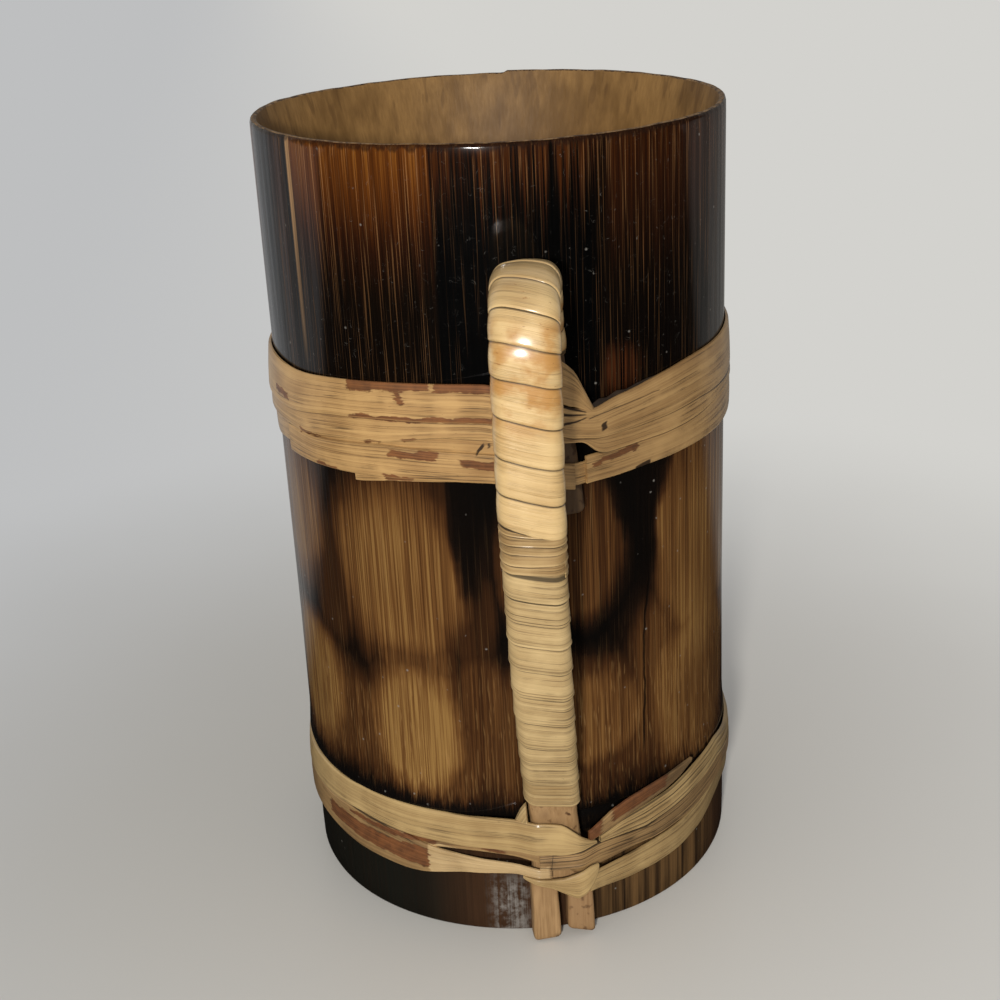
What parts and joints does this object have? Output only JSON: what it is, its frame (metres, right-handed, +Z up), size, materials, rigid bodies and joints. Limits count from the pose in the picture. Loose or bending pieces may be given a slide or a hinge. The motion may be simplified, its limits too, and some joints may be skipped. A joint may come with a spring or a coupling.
{
  "type": "bamboo cup",
  "caption": "Tall round bamboo cup with a fire-scorched wall and a bent side handle, wound with flat strip and lashed on by split-bamboo bands.",
  "frame": {"origin": "centre of the round foot, on the floor", "axes": "+Z up along the cup, handle towards -Y, +X to the right as seen from the handle"},
  "size_m": [0.0846, 0.1078, 0.14],
  "materials": {
    "scorched_culm": "glossy lacquer over scorched bamboo",
    "bare_split": "satin",
    "amber_strip": "glossy lacquer",
    "rough_strip": "dull",
    "pale_strip": "satin",
    "band_strip": "satin, fine lengthwise grain",
    "skinned_strip": "satin"
  },
  "bodies": {
    "root": {"cup_culm": "scorched_culm", "handle_core": "bare_split", "handle_wrap_upper": "amber_strip", "handle_wrap_join": "rough_strip", "handle_wrap_lower": "pale_strip", "wrap_tail": "pale_strip", "upper_band_inner": "band_strip", "upper_band_outer": "band_strip", "upper_band_short": "band_strip", "upper_tie": "band_strip", "lower_band_inner": "band_strip", "lower_band_top": "band_strip", "lower_band_middle": "band_strip", "lower_band_bottom": "band_strip", "lower_band_fold": "band_strip", "lower_loose_end": "skinned_strip"}
  },
  "joints": []
}
